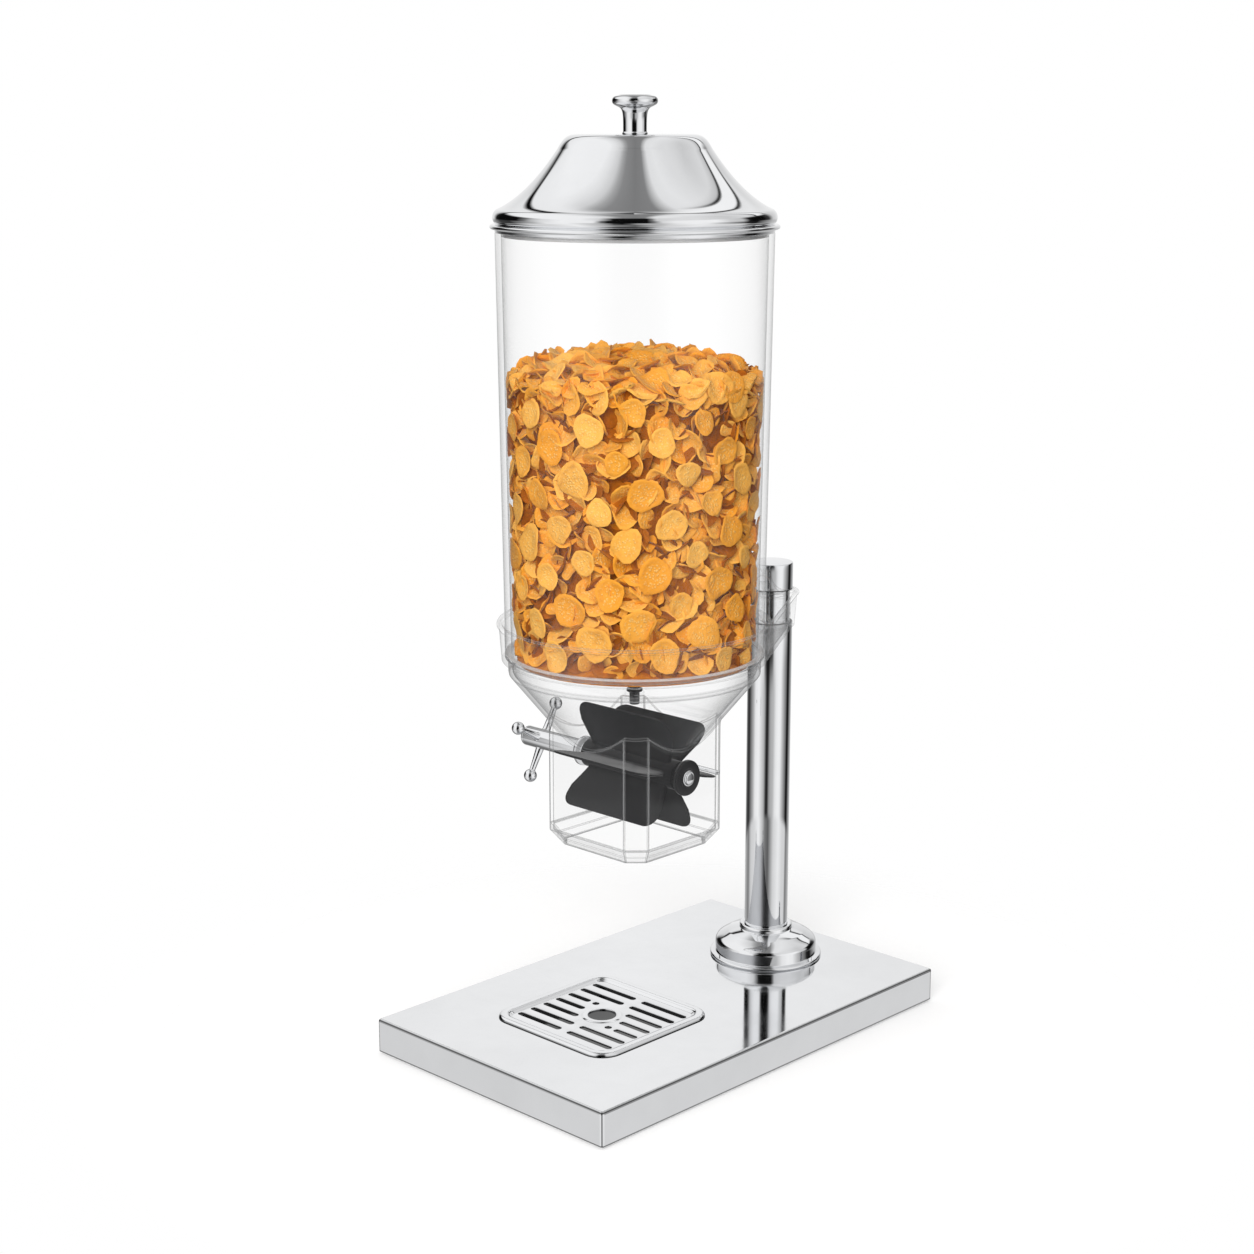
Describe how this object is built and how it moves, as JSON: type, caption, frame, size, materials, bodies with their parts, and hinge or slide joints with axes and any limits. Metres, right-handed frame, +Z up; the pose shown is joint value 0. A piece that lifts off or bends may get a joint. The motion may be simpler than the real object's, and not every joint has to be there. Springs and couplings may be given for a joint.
{
  "type": "gravity bulk food bin",
  "caption": "Free-standing dry food dispenser: polished post stand, clear canister over a hand-turned paddle wheel in a clear square chamber, spun lid and drip grille.",
  "frame": {"origin": "on the floor under the middle of the base box, at the feet's underside", "axes": "+Z up along the post, front of the dispenser (grille side) towards -Y, cross handle towards -X"},
  "size_m": [0.22, 0.346, 0.6514],
  "materials": {
    "polished_steel": "polished",
    "plain_steel": "satin",
    "clear_plastic": "polished",
    "clear_canister": "polished",
    "clear_silicone": "satin",
    "wheel_rubber": "satin",
    "black_rubber": "matte",
    "black_plastic": "satin",
    "cereal": "matte"
  },
  "bodies": {
    "stand": {"base_shell": "polished_steel", "base_plate": "plain_steel", "base_standoffs": "plain_steel", "base_feet": "black_rubber", "foot_screws": "plain_steel", "post_backing_plate": "plain_steel", "post_flange": "polished_steel", "post_tube": "polished_steel", "tie_rod": "plain_steel", "tie_washer": "plain_steel", "tie_nut": "plain_steel", "post_spigot": "polished_steel", "post_cap": "polished_steel", "sleeve_washers": "black_plastic"},
    "tray": {"crumb_tray": "polished_steel"},
    "grille": {"tray_grille": "polished_steel"},
    "hopper": {"bracket_ring": "clear_plastic", "hopper": "clear_plastic", "hopper_bridge": "clear_plastic", "chamber": "clear_plastic", "seat_gasket": "clear_silicone", "agitator_rod": "black_plastic", "wiper_rod": "polished_steel", "handle_bush": "polished_steel", "end_bush": "black_plastic"},
    "wheel": {"paddle_wheel": "wheel_rubber", "drive_shaft": "polished_steel", "shaft_clip": "polished_steel", "drive_pin": "plain_steel", "handle_hub": "polished_steel", "handle_arms": "polished_steel", "hub_screw": "plain_steel", "hub_cap": "polished_steel"},
    "canister": {"canister": "clear_canister", "cereal_fill": "cereal"},
    "lid": {"lid_crown": "polished_steel", "lid_shell": "polished_steel", "lid_rim": "polished_steel", "lid_knob": "polished_steel", "knob_screw": "plain_steel", "knob_washer": "plain_steel", "lid_seal": "clear_silicone"}
  },
  "joints": [
    {"name": "hopper_swivel", "type": "hinge", "parent": "stand", "child": "hopper", "pos_m": [0, 0.1125, 0.293], "axis": [0, 0, 1], "range_deg": [-90, 90]},
    {"name": "wheel_turn", "type": "hinge", "parent": "hopper", "child": "wheel", "pos_m": [0, -0.0295, 0.202], "axis": [1, 0, 0], "continuous": true},
    {"name": "canister_lift", "type": "slide", "parent": "hopper", "child": "canister", "axis": [0, 0, 1], "range_m": [0, 0.12]},
    {"name": "lid_lift", "type": "slide", "parent": "canister", "child": "lid", "axis": [0, 0, 1], "range_m": [0, 0.1]},
    {"name": "tray_lift", "type": "slide", "parent": "stand", "child": "tray", "axis": [0, 0, 1], "range_m": [0, 0.06]},
    {"name": "grille_lift", "type": "slide", "parent": "tray", "child": "grille", "axis": [0, 0, 1], "range_m": [0, 0.05]}
  ]
}
